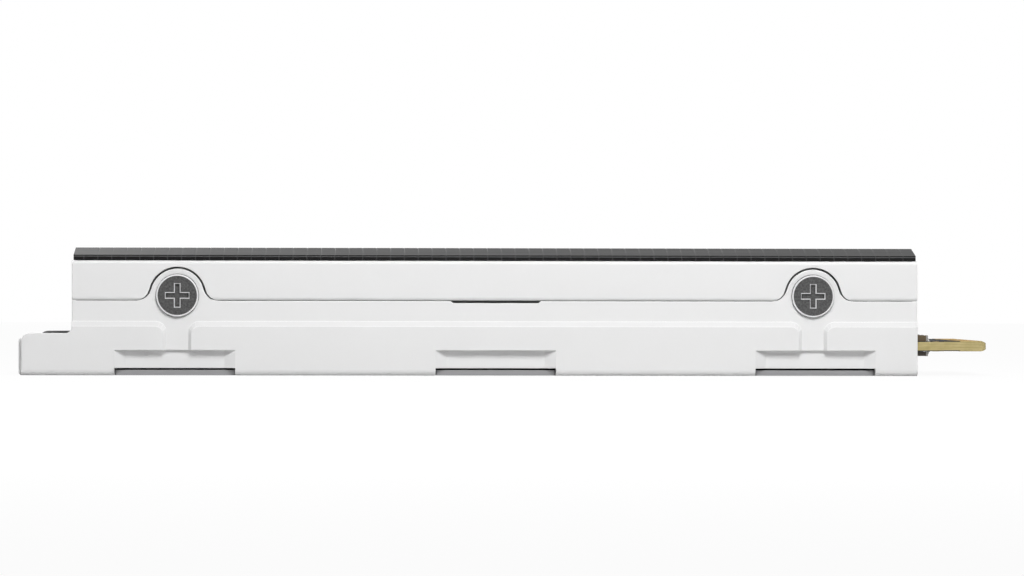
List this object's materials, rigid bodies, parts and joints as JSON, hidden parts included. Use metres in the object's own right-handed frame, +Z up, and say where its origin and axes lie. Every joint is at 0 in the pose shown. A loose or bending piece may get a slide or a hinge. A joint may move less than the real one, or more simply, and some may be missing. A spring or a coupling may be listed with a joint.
{
  "type": "gumstick solid state drive",
  "caption": "Slim solid state drive card in a white two piece metal heatsink with a dark top plate and side screws.",
  "frame": {"origin": "middle of the whole length and width, on the surface the drive lies on", "axes": "+X out of the edge connector, +Z up through the top plate, +Y across the card"},
  "size_m": [0.0802, 0.024, 0.0105],
  "materials": {
    "white_paint": "satin white paint",
    "black_coating": "satin black coating",
    "plate_grey": "plain satin sheet",
    "black_adhesive": "matte",
    "dark_steel": "black coated",
    "card": "dark solder mask, tan edge",
    "chip_mould": "matte",
    "coil_grey": "matte",
    "crystal_can": "satin",
    "capacitor_brown": "fired, with tinned ends",
    "pad_grey": "soft matte"
  },
  "bodies": {
    "root": {"lower_tray": "white_paint", "upper_heatsink": "white_paint", "top_plate": "black_coating", "bottom_plate": "plate_grey", "bottom_adhesive": "black_adhesive", "side_screw_near_left": "dark_steel", "side_screw_near_right": "dark_steel", "side_screw_far_left": "dark_steel", "side_screw_far_right": "dark_steel", "circuit_card": "card", "controller_chip": "chip_mould", "upper_flash_1": "chip_mould", "upper_flash_2": "chip_mould", "lower_flash_1": "chip_mould", "lower_flash_2": "chip_mould", "power_chip": "chip_mould", "power_coil_1": "coil_grey", "power_coil_2": "coil_grey", "power_coil_3": "coil_grey", "crystal": "crystal_can", "filter_capacitor_1": "capacitor_brown", "filter_capacitor_2": "capacitor_brown", "filter_capacitor_3": "capacitor_brown", "filter_capacitor_4": "capacitor_brown", "filter_capacitor_5": "capacitor_brown", "filter_capacitor_6": "capacitor_brown", "upper_capacitor_1": "capacitor_brown", "upper_capacitor_2": "capacitor_brown", "upper_capacitor_3": "capacitor_brown", "upper_capacitor_4": "capacitor_brown", "upper_capacitor_5": "capacitor_brown", "upper_capacitor_6": "capacitor_brown", "upper_capacitor_7": "capacitor_brown", "upper_capacitor_8": "capacitor_brown", "lower_capacitor_1": "capacitor_brown", "lower_capacitor_2": "capacitor_brown", "lower_capacitor_3": "capacitor_brown", "lower_capacitor_4": "capacitor_brown", "lower_capacitor_5": "capacitor_brown", "lower_capacitor_6": "capacitor_brown", "upper_thermal_pad": "pad_grey", "lower_thermal_pad": "pad_grey"}
  },
  "joints": []
}
